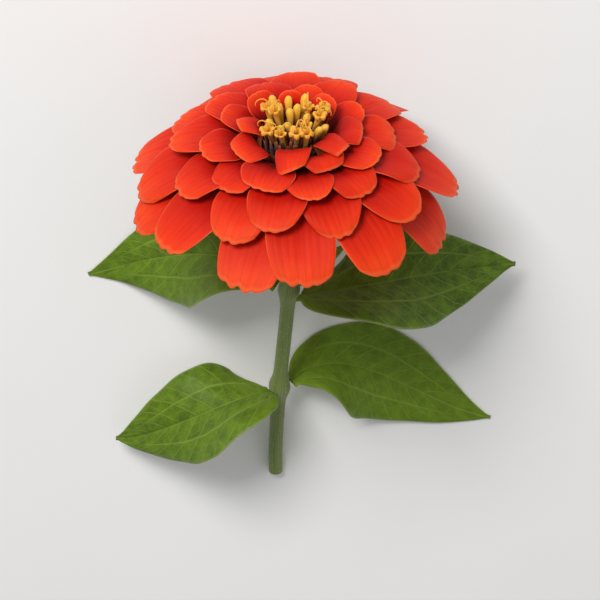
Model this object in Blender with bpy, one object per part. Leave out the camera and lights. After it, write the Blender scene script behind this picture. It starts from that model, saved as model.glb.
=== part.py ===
"""A double zinnia flower as picked, lying on a table: a Blender script, in metres, +Z up.

The stem rests its cut end on the table and the head rests on the tips of its lower petals. The face
looks towards -Y and a little up, and the stem runs back towards +Y. The stem widens into the
receptacle, which carries everything else of the head: the ray petals, set one above the other on a
golden-angle spiral, the cup of green bracts around their bases, and the yellow disc florets on top.
Two pairs of stalkless leaves grow from the two nodes of the stem, the lower pair crosswise.

Each soft piece is a thin sheet, drawn as its middle surface and thickened by a Solidify modifier.
"""

import math
import random

import bmesh
import bpy
import numpy as np
from mathutils import Matrix, Vector

MM = 0.001
GAP = 0.3 * MM  # kept between pieces that touch on the flower
WELD = 0.01 * MM

# The head, in its own frame: +Z out of the face, Z = 0 at the seat of the lowest petal.
HEAD_HEIGHT = 34.5 * MM  # of the head's origin above the table
FACE_ELEVATION = math.radians(20)  # how far the face looks up from level
RECEPTACLE_LOW_RADIUS = 8.6 * MM
RECEPTACLE_TOP_RADIUS = 7.2 * MM
RECEPTACLE_HEIGHT = 9.0 * MM
RECEPTACLE_CROWN = 1.6 * MM  # of the dome above that height

# The ray petals, from the lowest and longest, 0, to the innermost.
PETAL_COUNT = 50
PETAL_THICKNESS = 0.5 * MM
PETAL_CLAW_WIDTH = 2.2 * MM  # at the seat
GOLDEN_ANGLE = math.radians(137.508)
FIRST_PETAL_ANGLE = math.radians(20)
PETAL_STATIONS = (
    # petal, tip radius mm, tip height mm, width mm, rise at the seat deg, slope at the tip deg
    (0, 37.5, -5.0, 15.0, 36, -46),
    (13, 36.0, -0.5, 14.5, 44, -38),
    (14, 31.5, 3.6, 13.5, 48, -30),
    (26, 28.0, 8.4, 12.5, 57, -18),
    (27, 24.5, 10.0, 11.5, 59, -12),
    (37, 20.5, 12.8, 10.0, 66, 5),
    (38, 16.5, 14.0, 8.6, 69, 14),
    (45, 13.5, 15.6, 7.4, 75, 36),
    (46, 11.5, 16.2, 5.8, 78, 52),
    (49, 10.0, 17.0, 4.8, 81, 64),
)
BROADEST_AT = 0.68  # share of the petal's length
TIP_NARROWING = 0.26  # share of the half width lost from there to the tip
TIP_ROUNDING = 0.12  # share of the length that the edges end short of the tip
PETAL_CUPPING = 0.08  # height of the edges over the midrib, per half width
CLAW_CUPPING = 0.4
SEED = 6
PETAL_ROWS = 7
SMALL_PETAL = 5 * MM  # half width under which a petal has a row less
RADIUS_SPREAD = 0.8 * MM
HEIGHT_SPREAD = 0.25 * MM
ANGLE_SPREAD = math.radians(1.2)
ROLL_SPREAD = math.radians(2)
SWAY_SPREAD = math.radians(2)
NEIGHBOURS_ABOVE = (3, 5, 8, 13)  # steps of the spiral to the petals that lie over one petal
TABLE_CLEARANCE = 0.35 * MM  # of a middle surface that rests on the table
MOST_BEND = math.radians(70)

# The cup of bracts: outer (radius, height), up the outside, for each row of bracts.
CUP_DEPTH = 9.5 * MM  # from the head's origin down to the neck
CUP_ROWS = ((3.4, -9.2), (5.6, -7.2), (7.7, -4.9), (9.1, -2.5), (9.9, 0.2))
CUP_INNER = ((9.1, 0.2), (7.7, -2.5), (5.5, -5.1), (3.4, -7.6), (3.0, -9.2))
BRACTS_PER_ROW = 11
BRACT_RELIEF = 0.5 * MM
CUP_SIDES = 44

# The disc: a dome of chaff with the florets standing in it.
CHAFF_RADIUS = 6.3 * MM
CHAFF_THICKNESS = 0.8 * MM
CHAFF_SIDES = 20
CHAFF_GAP = 0.35 * MM  # over the crown
FLORET_COUNT = 19
FLORET_SIDES = 7
FLORET_TOP = 17.0 * MM
FLORET_HEIGHT_SPREAD = 1.0 * MM
FLORET_LEAN = 1.2  # how much further out its top stands than its foot
FLORET_PROFILE = (  # (share of the height, radius mm)
    (0.0, 0.6),
    (0.45, 0.7),
    (0.8, 0.8),
    (0.95, 1.3),
    (1.0, 1.1),
)
DISC_RADIUS = 5.6 * MM  # of the outermost floret's foot

# The stem, and where it meets the table.
STEM_LENGTH = 95 * MM
STEM_RADIUS = 1.6 * MM
NECK_RADIUS = 2.6 * MM  # just under the bracts
NECK_LENGTH = 12 * MM
CUT_RADIUS = 1.7 * MM
NODE_RADIUS = 2.5 * MM
NODE_SPREAD = 3 * MM  # length of the swelling either way
STEM_BOW = 5 * MM  # sideways, of the cut end
STEM_SIDES = 12
STEM_RINGS = 26
UPPER_NODE = 34 * MM  # along the stem from the head's origin
LOWER_NODE = 66 * MM
AXIL = UPPER_NODE - 3.2 * MM

# The leaves. Azimuth is round the stem, from +X up. The tip's place is (x, y, z) with the head's
# origin over (0, 0), and a tip below the table is one that the table presses up.
LEAF_THICKNESS = 0.7 * MM
LEAF_BROADEST_AT = 0.38  # share of the length
LEAF_BASE_SHARE = 0.2  # of the half width, at the stem
LEAF_TIP_SHARE = 0.03
LEAF_FOLD = 0.16  # rise of each half from the midrib
LEAF_PRESS = 1.0 * MM  # how softly the table bends a leaf
LEAF_CLEARANCE = 0.05 * MM
LEAVES = (
    # name, node, azimuth, ascent, tip mm, direction at the tip, upper side at the tip, width mm
    ("leaf_upper_right", UPPER_NODE, -24, 30, (50, 37, -3), (0.93, 0.22, -0.28), (0.1, -0.25, 1), 26),
    ("leaf_upper_left", UPPER_NODE, 156, 32, (-52, 31, 9), (-0.85, 0.15, -0.50), (-0.3, -0.45, 1), 27),
    ("leaf_lower_right", LOWER_NODE, 50, 34, (44, 79, 4), (0.80, 0.25, -0.55), (0.3, -0.3, 1), 25),
    ("leaf_lower_left", LOWER_NODE, 216, 28, (-48, 75, -3), (-0.95, 0.20, -0.15), (0.0, -0.15, 1), 25),
)
AXILLARY_LEAVES = (
    ("axillary_leaf_right", AXIL, -28, 68, (13, 19, 24), (0.7, -0.6, 0.0), (-0.6, -0.6, 0.6), 6.5),
    ("axillary_leaf_left", AXIL, 152, 68, (-12, 17, 32), (-0.6, -0.7, 0.2), (0.6, -0.7, 0.3), 6.5),
)

HEAD = Matrix.Translation((0, 0, HEAD_HEIGHT)) @ Matrix.Rotation(math.pi / 2 - FACE_ELEVATION, 4, "X")
AXIS = (HEAD.to_3x3() @ Vector((0, 0, 1))).normalized()


def smooth(t):
    t = np.clip(t, 0, 1)
    return t * t * (3 - 2 * t)


def bezier(points, u):
    """Points at u along the cubic curve of these four control points."""
    p = np.array(points, float)
    u = np.asarray(u, float)[..., None]
    v = 1 - u
    return v**3 * p[0] + 3 * v * v * u * p[1] + 3 * v * u * u * p[2] + u**3 * p[3]


def unit(vectors):
    return vectors / np.linalg.norm(vectors, axis=-1, keepdims=True)


# ---------------------------------------------------------------- petals


def petal_shape(index, draw):
    """The sizes of one petal, as a dict."""
    stations = np.array(PETAL_STATIONS)
    radius, height, width, rise, slope = (
        np.interp(index, stations[:, 0], column) for column in stations[:, 1:].T
    )
    share = index / (PETAL_COUNT - 1)
    seat_height = (0.8 + 8.4 * share) * MM
    side = RECEPTACLE_LOW_RADIUS + (RECEPTACLE_TOP_RADIUS - RECEPTACLE_LOW_RADIUS) * (
        seat_height / RECEPTACLE_HEIGHT
    )
    return {
        "angle": FIRST_PETAL_ANGLE + index * GOLDEN_ANGLE + draw.uniform(-1, 1) * ANGLE_SPREAD,
        "seat": (side + GAP + PETAL_THICKNESS / 2, seat_height),
        "tip": (
            radius * MM + draw.uniform(-1, 1) * RADIUS_SPREAD,
            height * MM + draw.uniform(-1, 1) * HEIGHT_SPREAD,
        ),
        "half_width": width * MM / 2,
        "rise": math.radians(rise),
        "slope": math.radians(slope),
        "roll": draw.uniform(-1, 1) * ROLL_SPREAD,
        "sway": draw.uniform(-1, 1) * SWAY_SPREAD,
    }


def petal_surface(shape, along, across, bend=0.0):
    """The middle surface in the head's frame, (along, across, 3), turned back about its seat by bend."""
    seat, tip = np.array(shape["seat"]), np.array(shape["tip"])
    reach = np.linalg.norm(tip - seat)
    leave = np.array((math.cos(shape["rise"]), math.sin(shape["rise"])))
    arrive = np.array((math.cos(shape["slope"]), math.sin(shape["slope"])))
    control = (seat, seat + 0.4 * reach * leave, tip - 0.38 * reach * arrive, tip)

    u, v = np.meshgrid(np.linspace(0, 1, along), np.linspace(-1, 1, across), indexing="ij")
    station = u * (1 - TIP_ROUNDING * np.abs(v) ** 2.4 * smooth(u))
    middle = bezier(control, station)
    step = unit(bezier(control, station + 0.01) - bezier(control, station - 0.01))
    normal = np.stack((-step[..., 1], step[..., 0]), -1)

    claw = PETAL_CLAW_WIDTH / 2 / shape["half_width"]
    share = claw + (1 - claw) * smooth(u / BROADEST_AT)
    share -= TIP_NARROWING * np.clip((u - BROADEST_AT) / (1 - BROADEST_AT), 0, 1) ** 2.2
    offset = shape["half_width"] * share * v
    cupping = CLAW_CUPPING + (PETAL_CUPPING - CLAW_CUPPING) * smooth(u / 0.35)
    cupping = cupping * (1 - 0.9 * smooth((u - 0.6) / 0.4))
    lift = cupping * np.abs(offset) * np.abs(v) + offset * math.tan(shape["roll"]) * smooth(u / 0.5)

    profile = middle + normal * lift[..., None]
    turned = profile - seat
    profile = seat + np.stack(
        (
            turned[..., 0] * math.cos(bend) + turned[..., 1] * math.sin(bend),
            turned[..., 1] * math.cos(bend) - turned[..., 0] * math.sin(bend),
        ),
        -1,
    )
    angle = shape["angle"] + shape["sway"] * u * u
    radial = np.stack((np.cos(angle), np.sin(angle)), -1)
    sideways = np.stack((-np.sin(angle), np.cos(angle)), -1)
    flat = profile[..., :1] * radial + offset[..., None] * sideways
    return np.concatenate((flat, profile[..., 1:]), -1)


def in_world(points, matrix):
    m = np.array(matrix)
    return points @ m[:3, :3].T + m[:3, 3]


def bend_needed(shape):
    """How far a petal alone is pushed back where the table is in its way."""
    low, high = 0.0, MOST_BEND
    for _ in range(18):
        middle = (low + high) / 2
        lowest = in_world(petal_surface(shape, 9, 5, middle), HEAD)[..., 2].min()
        if lowest < TABLE_CLEARANCE:
            low = middle
        else:
            high = middle
    return high if low > 0 else 0.0


def petal_bends(shapes):
    """How far each petal is pushed back, by the table or by the pushed petals that lie over it."""
    bends = [bend_needed(shape) for shape in shapes]
    for index in reversed(range(len(shapes))):
        for step in NEIGHBOURS_ABOVE:
            if index + step < len(shapes):
                apart = shapes[index + step]["angle"] - shapes[index]["angle"]
                bends[index] = max(bends[index], bends[index + step] * max(0, math.cos(apart)))
    return bends


# ---------------------------------------------------------------- objects


def material(name, colour, roughness):
    made = bpy.data.materials.new(name)
    made.use_nodes = True
    shader = made.node_tree.nodes["Principled BSDF"]
    shader.inputs["Base Color"].default_value = (*colour, 1)
    shader.inputs["Roughness"].default_value = roughness
    return made


def new_object(name, mesh, finish, parent=None):
    made = bpy.data.objects.new(name, mesh)
    bpy.context.collection.objects.link(made)
    mesh.materials.append(finish)
    mesh.shade_smooth()
    made.parent = parent
    return made


def grid_mesh(name, points, closed=False):
    """A mesh of quads over a grid of points. Closed joins the last column to the first."""
    rows, columns = points.shape[:2]
    bm = bmesh.new()
    grid = [[bm.verts.new(points[r, c]) for c in range(columns)] for r in range(rows)]
    for r in range(rows - 1):
        for c in range(columns if closed else columns - 1):
            n = (c + 1) % columns
            bm.faces.new((grid[r][c], grid[r][n], grid[r + 1][n], grid[r + 1][c]))
    mesh = bpy.data.meshes.new(name)
    bm.to_mesh(mesh)
    bm.free()
    return mesh


def sheet(name, points, thickness, finish, parent=None):
    made = new_object(name, grid_mesh(name, points), finish, parent)
    solidify = made.modifiers.new("Thickness", "SOLIDIFY")
    solidify.thickness = thickness
    solidify.offset = 0
    return made


def turned(name, rings, finish, parent=None):
    """A closed solid through these rings of points, with flat ends."""
    mesh = grid_mesh(name, rings, closed=True)
    bm = bmesh.new()
    bm.from_mesh(mesh)
    bmesh.ops.holes_fill(bm, edges=bm.edges)
    bmesh.ops.recalc_face_normals(bm, faces=bm.faces)
    bm.to_mesh(mesh)
    bm.free()
    made = new_object(name, mesh, finish, parent)
    mesh.set_sharp_from_angle(angle=math.radians(50))
    return made


def circle(radius, height, sides, scallop=0.0, lobes=1, phase=0.0):
    angle = np.arange(sides) * 2 * math.pi / sides
    reach = radius + scallop * np.abs(np.cos(lobes * angle / 2 + phase))
    return np.stack((reach * np.cos(angle), reach * np.sin(angle), np.full(sides, height)), -1)


# ---------------------------------------------------------------- stem


def stem_path():
    """Control points of the stem's line, from the head's origin to the cut end on the table."""
    start = np.array(HEAD.translation)
    axis = np.array(AXIS)
    drop = start[2] - CUT_RADIUS
    end = np.array((STEM_BOW, start[1] + math.sqrt(STEM_LENGTH**2 - drop**2 - STEM_BOW**2), CUT_RADIUS))
    return start, start - axis * STEM_LENGTH * 0.35, end - np.array((0, 0.3, -0.06)) * STEM_LENGTH, end


def stem_radius(distance):
    swelling = sum(math.exp(-(((distance - node) / NODE_SPREAD) ** 2)) for node in (UPPER_NODE, LOWER_NODE))
    radius = STEM_RADIUS + (CUT_RADIUS - STEM_RADIUS) * distance / STEM_LENGTH
    radius += (NODE_RADIUS - STEM_RADIUS) * swelling
    return radius + (NECK_RADIUS - STEM_RADIUS) * smooth(1 - (distance - CUP_DEPTH) / NECK_LENGTH)


def stem_frame(distance):
    """(middle, towards the head, sideways, upwards) at a distance along the stem from the head."""
    control = stem_path()
    share = distance / STEM_LENGTH
    ahead = unit(bezier(control, share - 0.01) - bezier(control, share + 0.01))
    side = unit(np.cross((0, 0, 1), ahead))
    return bezier(control, share), ahead, side, np.cross(ahead, side)


def stem_rings():
    """Rings round the stem from the cut end up to the cup of bracts."""
    rings = []
    for distance in np.linspace(STEM_LENGTH, CUP_DEPTH, STEM_RINGS):
        middle, _, side, up = stem_frame(distance)
        angle = np.arange(STEM_SIDES)[:, None] * 2 * math.pi / STEM_SIDES
        rings.append(middle + stem_radius(distance) * (np.cos(angle) * side + np.sin(angle) * up))
    return rings


def receptacle_profile():
    """(radius, height) in the head's frame from the neck up to near the crown's middle."""
    base = [
        (3.0 * MM, -7.4 * MM),
        (5.0 * MM, -5.2 * MM),
        (7.2 * MM, -2.6 * MM),
        (RECEPTACLE_LOW_RADIUS, -0.4 * MM),
        (RECEPTACLE_TOP_RADIUS, RECEPTACLE_HEIGHT),
    ]
    crown = [
        (RECEPTACLE_TOP_RADIUS * math.cos(a), RECEPTACLE_HEIGHT + RECEPTACLE_CROWN * math.sin(a))
        for a in np.radians((30, 60, 80))
    ]
    return base + crown


def make_stem(finish, parent):
    head_rings = [
        in_world(circle(radius, height, STEM_SIDES), HEAD) for radius, height in receptacle_profile()
    ]
    turned("stem", np.array(stem_rings() + head_rings), finish, parent)


# ---------------------------------------------------------------- bracts and disc


def make_involucre(finish, parent):
    """One cup of overlapping bracts, its outside scalloped row by row."""
    outer = []
    for row, ((low, foot), (high, rim)) in enumerate(zip(CUP_ROWS, CUP_ROWS[1:])):
        phase = math.pi / 2 * (row % 2)
        outer.append(circle(low * MM, foot * MM, CUP_SIDES))
        outer.append(circle((low + high) / 2 * MM, (foot + rim) / 2 * MM, CUP_SIDES, BRACT_RELIEF,
                            BRACTS_PER_ROW, phase))
    outer.append(circle(CUP_ROWS[-1][0] * MM, CUP_ROWS[-1][1] * MM, CUP_SIDES))
    inner = [circle(radius * MM, height * MM, CUP_SIDES) for radius, height in CUP_INNER]
    rings = np.array(outer + inner)
    mesh = grid_mesh("involucre", np.concatenate((rings, rings[:1])), closed=True)
    bm = bmesh.new()
    bm.from_mesh(mesh)
    bmesh.ops.remove_doubles(bm, verts=bm.verts, dist=WELD)
    bmesh.ops.recalc_face_normals(bm, faces=bm.faces)
    bm.to_mesh(mesh)
    bm.free()
    new_object("involucre", mesh, finish, parent)


def crown_height(radius):
    profile = np.array(receptacle_profile()[-4:])[::-1]
    return np.interp(radius, profile[:, 0], profile[:, 1])


def make_disc(finish, parent):
    """The chaff's dome and the florets standing in it, as one body."""
    radii = CHAFF_RADIUS * np.array((0.2, 0.6, 0.95))
    under = [circle(r, crown_height(r) + CHAFF_GAP, CHAFF_SIDES) for r in radii]
    rim = circle(CHAFF_RADIUS, crown_height(CHAFF_RADIUS) + CHAFF_GAP + CHAFF_THICKNESS / 2, CHAFF_SIDES)
    over = [circle(r, crown_height(r) + CHAFF_GAP + CHAFF_THICKNESS, CHAFF_SIDES) for r in radii[::-1]]
    dome = turned("disc_florets", np.array(under + [rim] + over), finish, parent)

    draw = random.Random(SEED)
    for index in range(FLORET_COUNT):
        foot_radius = DISC_RADIUS * math.sqrt((index + 0.5) / FLORET_COUNT)
        angle = index * GOLDEN_ANGLE
        foot = crown_height(foot_radius) + CHAFF_GAP + CHAFF_THICKNESS / 2
        top = FLORET_TOP - draw.random() * FLORET_HEIGHT_SPREAD
        rings = []
        for share, radius in FLORET_PROFILE:
            reach = foot_radius * (1 + (FLORET_LEAN - 1) * share)
            middle = (reach * math.cos(angle), reach * math.sin(angle), 0)
            rings.append(circle(radius * MM, foot + (top - foot) * share, FLORET_SIDES) + middle)
        floret = turned(f"floret_guide_{index + 1:02d}", np.array(rings), finish, parent)
        floret.hide_render = True
        floret.display_type = "WIRE"
        union = dome.modifiers.new("Floret", "BOOLEAN")
        union.operation = "UNION"
        union.object = floret


# ---------------------------------------------------------------- leaves


def leaf_surface(node, azimuth, ascent, tip, arrive, tip_side, width, along, across):
    """The middle surface of a leaf in the world, (along, across, 3)."""
    middle, ahead, side, up = stem_frame(node)
    around = math.radians(azimuth)
    outwards = math.cos(around) * side + math.sin(around) * up
    rise = math.radians(ascent)
    leave = math.cos(rise) * outwards + math.sin(rise) * ahead
    base = middle + (stem_radius(node) + GAP + LEAF_THICKNESS / 2) * outwards
    end = np.array(tip) * MM
    reach = np.linalg.norm(end - base)
    control = (base, base + 0.36 * reach * leave, end - 0.36 * reach * unit(np.array(arrive)), end)

    u, v = np.meshgrid(np.linspace(0, 1, along), np.linspace(-1, 1, across), indexing="ij")
    midrib = bezier(control, u)
    forward = unit(bezier(control, u + 0.01) - bezier(control, u - 0.01))
    base_side = math.cos(rise) * ahead - math.sin(rise) * outwards
    turn = smooth(u * 1.25)[..., None]
    facing = (1 - turn) * base_side + turn * unit(np.array(tip_side, float))
    sideways = unit(np.cross(facing, forward))
    normal = np.cross(forward, sideways)

    power = math.log(0.5) / math.log(LEAF_BROADEST_AT)
    share = np.sin(math.pi * u**power)
    share = np.maximum(share, np.maximum(LEAF_BASE_SHARE * (1 - u) ** 2, LEAF_TIP_SHARE))
    offset = width * MM / 2 * share * v
    lift = LEAF_FOLD * np.abs(offset) * (1 - 0.4 * v**2)
    points = midrib + offset[..., None] * sideways + lift[..., None] * normal
    floor = LEAF_THICKNESS / 2 + LEAF_CLEARANCE
    points[..., 2] = floor + LEAF_PRESS * np.logaddexp(0, (points[..., 2] - floor) / LEAF_PRESS)
    return points


# ---------------------------------------------------------------- main


def rest_on_origin(flower):
    """Moves the flower so that the origin is under the middle of its box, on the table."""
    graph = bpy.context.evaluated_depsgraph_get()
    corners = []
    for made in flower.children_recursive:
        if made.type != "MESH" or made.hide_render:
            continue
        evaluated = made.evaluated_get(graph)
        mesh = evaluated.to_mesh()
        points = np.empty(len(mesh.vertices) * 3, np.float32)
        mesh.vertices.foreach_get("co", points)
        points = in_world(points.reshape(-1, 3), made.matrix_world)
        corners += [points.min(axis=0), points.max(axis=0)]
        evaluated.to_mesh_clear()
    low, high = np.min(corners, axis=0), np.max(corners, axis=0)
    flower.location = (-(low[0] + high[0]) / 2, -(low[1] + high[1]) / 2, -low[2])


def main():
    for old in list(bpy.data.objects):
        bpy.data.objects.remove(old)

    petal_red = material("petal_scarlet", (0.78, 0.05, 0.015), 0.55)
    leaf_green = material("leaf_green", (0.12, 0.20, 0.03), 0.5)
    stem_green = material("stem_green", (0.14, 0.20, 0.05), 0.6)
    bract_green = material("bract_green", (0.22, 0.27, 0.07), 0.6)
    disc_yellow = material("disc_yellow", (0.85, 0.42, 0.03), 0.6)

    flower = bpy.data.objects.new("flower", None)
    head = bpy.data.objects.new("head", None)
    for empty in (flower, head):
        bpy.context.collection.objects.link(empty)
    head.parent = flower
    head.matrix_local = HEAD

    draw = random.Random(SEED)
    shapes = [petal_shape(index, draw) for index in range(PETAL_COUNT)]
    for index, (shape, bend) in enumerate(zip(shapes, petal_bends(shapes))):
        along = PETAL_ROWS if shape["half_width"] > SMALL_PETAL else PETAL_ROWS - 1
        points = petal_surface(shape, along, 5, bend)
        sheet(f"petal_{index + 1:02d}", points, PETAL_THICKNESS, petal_red, head)

    make_stem(stem_green, flower)
    make_involucre(bract_green, head)
    make_disc(disc_yellow, head)
    for name, *shape in LEAVES:
        sheet(name, leaf_surface(*shape, 12, 5), LEAF_THICKNESS, leaf_green, flower)
    for name, *shape in AXILLARY_LEAVES:
        sheet(name, leaf_surface(*shape, 8, 3), LEAF_THICKNESS, leaf_green, flower)

    bpy.context.view_layer.update()
    rest_on_origin(flower)


main()
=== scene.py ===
"""The looks of a cut double zinnia that lies on a table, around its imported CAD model.

The pieces made here take the place of every CAD node. The petals, leaves and stem repeat the CAD model's
curves at a finer grain, with veins, notches, waves and hairs of their own.
"""

import math
import random

import bpy
import numpy as np
from mathutils import Matrix, Vector


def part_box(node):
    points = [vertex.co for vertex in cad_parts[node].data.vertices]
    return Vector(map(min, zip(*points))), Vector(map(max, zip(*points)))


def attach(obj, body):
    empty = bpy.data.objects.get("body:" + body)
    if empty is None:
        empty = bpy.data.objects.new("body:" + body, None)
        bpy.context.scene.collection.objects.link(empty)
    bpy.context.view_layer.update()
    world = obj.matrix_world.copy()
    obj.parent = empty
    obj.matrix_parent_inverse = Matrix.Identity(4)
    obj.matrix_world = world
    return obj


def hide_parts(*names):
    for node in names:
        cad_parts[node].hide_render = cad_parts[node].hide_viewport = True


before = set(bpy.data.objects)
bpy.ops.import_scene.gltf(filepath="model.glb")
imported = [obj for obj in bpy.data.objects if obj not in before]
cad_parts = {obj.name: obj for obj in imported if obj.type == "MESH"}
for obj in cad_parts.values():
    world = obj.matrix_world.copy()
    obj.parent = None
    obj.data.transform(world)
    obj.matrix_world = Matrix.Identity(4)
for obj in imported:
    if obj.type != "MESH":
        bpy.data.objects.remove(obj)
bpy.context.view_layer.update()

MM = 0.001
GAP = 0.3 * MM

# ---------------------------------------------------------------- the CAD model's own values

HEAD_HEIGHT = 34.5 * MM
FACE_ELEVATION = math.radians(20)
RECEPTACLE_LOW_RADIUS = 8.6 * MM
RECEPTACLE_TOP_RADIUS = 7.2 * MM
RECEPTACLE_HEIGHT = 9.0 * MM
RECEPTACLE_CROWN = 1.6 * MM
PETAL_COUNT = 50
CAD_PETAL_THICKNESS = 0.5 * MM
PETAL_CLAW_WIDTH = 2.2 * MM
GOLDEN_ANGLE = math.radians(137.508)
FIRST_PETAL_ANGLE = math.radians(20)
PETAL_STATIONS = (
    # petal, tip radius mm, tip height mm, width mm, rise at the seat deg, slope at the tip deg
    (0, 37.5, -5.0, 15.0, 36, -46),
    (13, 36.0, -0.5, 14.5, 44, -38),
    (14, 31.5, 3.6, 13.5, 48, -30),
    (26, 28.0, 8.4, 12.5, 57, -18),
    (27, 24.5, 10.0, 11.5, 59, -12),
    (37, 20.5, 12.8, 10.0, 66, 5),
    (38, 16.5, 14.0, 8.6, 69, 14),
    (45, 13.5, 15.6, 7.4, 75, 36),
    (46, 11.5, 16.2, 5.8, 78, 52),
    (49, 10.0, 17.0, 4.8, 81, 64),
)
BROADEST_AT = 0.68
TIP_NARROWING = 0.26
TIP_ROUNDING = 0.12
PETAL_CUPPING = 0.08
CLAW_CUPPING = 0.4
SEED = 6
RADIUS_SPREAD = 0.8 * MM
HEIGHT_SPREAD = 0.25 * MM
ANGLE_SPREAD = math.radians(1.2)
ROLL_SPREAD = math.radians(2)
SWAY_SPREAD = math.radians(2)
NEIGHBOURS_ABOVE = (3, 5, 8, 13)
TABLE_CLEARANCE = 0.35 * MM
MOST_BEND = math.radians(70)

CUP_DEPTH = 9.5 * MM
CHAFF_GAP = 0.35 * MM
DISC_RADIUS = 5.6 * MM

STEM_LENGTH = 95 * MM
STEM_RADIUS = 1.6 * MM
NECK_RADIUS = 2.6 * MM
NECK_LENGTH = 12 * MM
CUT_RADIUS = 1.7 * MM
NODE_RADIUS = 2.5 * MM
NODE_SPREAD = 3 * MM
STEM_BOW = 5 * MM
UPPER_NODE = 34 * MM
LOWER_NODE = 66 * MM
AXIL = UPPER_NODE - 3.2 * MM

LEAF_THICKNESS = 0.7 * MM
LEAF_BROADEST_AT = 0.38
LEAF_BASE_SHARE = 0.2
LEAF_TIP_SHARE = 0.03
LEAF_FOLD = 0.16
LEAF_PRESS = 1.0 * MM
LEAF_CLEARANCE = 0.05 * MM
LEAVES = (
    # name, node, azimuth, ascent, tip mm, direction at the tip, upper side at the tip, width mm
    ("leaf_upper_right", UPPER_NODE, -24, 30, (50, 37, -3), (0.93, 0.22, -0.28), (0.1, -0.25, 1), 26),
    ("leaf_upper_left", UPPER_NODE, 156, 32, (-52, 31, 9), (-0.85, 0.15, -0.50), (-0.3, -0.45, 1), 27),
    ("leaf_lower_right", LOWER_NODE, 50, 34, (44, 79, 4), (0.80, 0.25, -0.55), (0.3, -0.3, 1), 25),
    ("leaf_lower_left", LOWER_NODE, 216, 28, (-48, 75, -3), (-0.95, 0.20, -0.15), (0.0, -0.15, 1), 25),
)
AXILLARY_LEAVES = (
    ("axillary_leaf_right", AXIL, -28, 68, (13, 19, 24), (0.7, -0.6, 0.0), (-0.6, -0.6, 0.6), 6.5),
    ("axillary_leaf_left", AXIL, 152, 68, (-12, 17, 32), (-0.6, -0.7, 0.2), (0.6, -0.7, 0.3), 6.5),
)

HEAD = Matrix.Translation((0, 0, HEAD_HEIGHT)) @ Matrix.Rotation(math.pi / 2 - FACE_ELEVATION, 4, "X")
AXIS = np.array((HEAD.to_3x3() @ Vector((0, 0, 1))).normalized())

# ---------------------------------------------------------------- this script's own values

PETAL_GRID = (44, 33)
SMALL_PETAL_GRID = (30, 21)
PETAL_WIDENING = 1.04  # over the CAD model's, whose outline is a coarse polygon inside the real one
PETAL_THICKNESS = 0.34 * MM
PETAL_MARGIN = 0.10 * MM
NOTCH_DEPTH = 0.030  # share of the petal's length
RIDGES = 9
RIDGE_HEIGHT = 0.035 * MM
PETAL_LOOK_SEED = 41
FIRST_SMALL_PETAL = 38  # from here on the petals are small, and take a coarser grid
PETAL_TONE = 0.65  # how far the tip's orange reaches towards the base, on the lowest petal
PETAL_TONE_SPREAD = 0.3
PETAL_TONE_FALL = 0.35  # from the lowest petal to the innermost
# The innermost petals lean over the disc and roll their tips back: petal, then lean and roll in mm.
INNERMOST = {
    37: (0.3, 0.4),
    40: (1.0, 2.6),
    42: (1.2, 3.2),
    43: (1.0, 2.0),
    45: (2.4, 4.3),
    46: (1.5, 1.0),
    47: (1.6, 3.0),
    48: (2.0, 5.0),
    49: (1.0, 0.5),
}
INNERMOST_WIDENING = 1.18
FRONT_PETAL = 45  # the one before the middle of the disc: not widened, and twisted instead
FRONT_PETAL_TWIST = 1.1 * MM
LEAF_GRID = (90, 49)
SMALL_LEAF_GRID = (40, 21)
LEAF_MIDDLE = 0.45 * MM
LEAF_MARGIN = 0.16 * MM
MIDRIB_THICKENING = 0.5 * MM
LATERAL_VEIN_AT = 0.46  # of the half width, from the midrib
SIDE_VEINS = 11  # along each side of the midrib
SIDE_VEIN_SLANT = 2.4
LEAF_TONES = {  # 0 dark and grown, 1 pale and young
    "leaf_upper_right": 0.35,
    "leaf_upper_left": 0.15,
    "leaf_lower_right": 0.3,
    "leaf_lower_left": 0.5,
    "axillary_leaf_right": 0.9,
    "axillary_leaf_left": 0.9,
}
FRINGE_SEED = 77
FRINGE_HAIRS = 130  # on each edge of a large leaf
SMALL_FRINGE_HAIRS = 40
FRINGE_LENGTHS = (0.3 * MM, 0.6 * MM)
FRINGE_HAIR_RADIUS = 0.035 * MM

STEM_SIDES = 30
STEM_RINGS = 190
STEM_OVERLAP = 3 * MM  # how far the stem's skin runs on into the bracts
STEM_HAIR_SEED = 5
STEM_HAIRS = 1500
STEM_HAIR_LENGTHS = (0.35 * MM, 0.95 * MM)
STEM_HAIR_RADIUS = 0.03 * MM
CUT_PLUG_DEPTH = 1.2 * MM

BRACT_SEED = 19
BRACT_GRID = (16, 13)
BRACT_ROWS = (
    # foot radius, foot height, tip radius, tip height, width, all mm, and how many
    (2.9, -8.6, 6.6, -5.6, 4.6, 8),
    (4.0, -7.6, 8.6, -3.4, 5.6, 10),
    (5.2, -6.2, 9.9, -0.9, 6.2, 12),
    (6.6, -4.4, 10.4, 1.2, 6.2, 14),
)
BRACT_STEP = 0.30 * MM  # every second bract of a row stands out by this much

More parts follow.
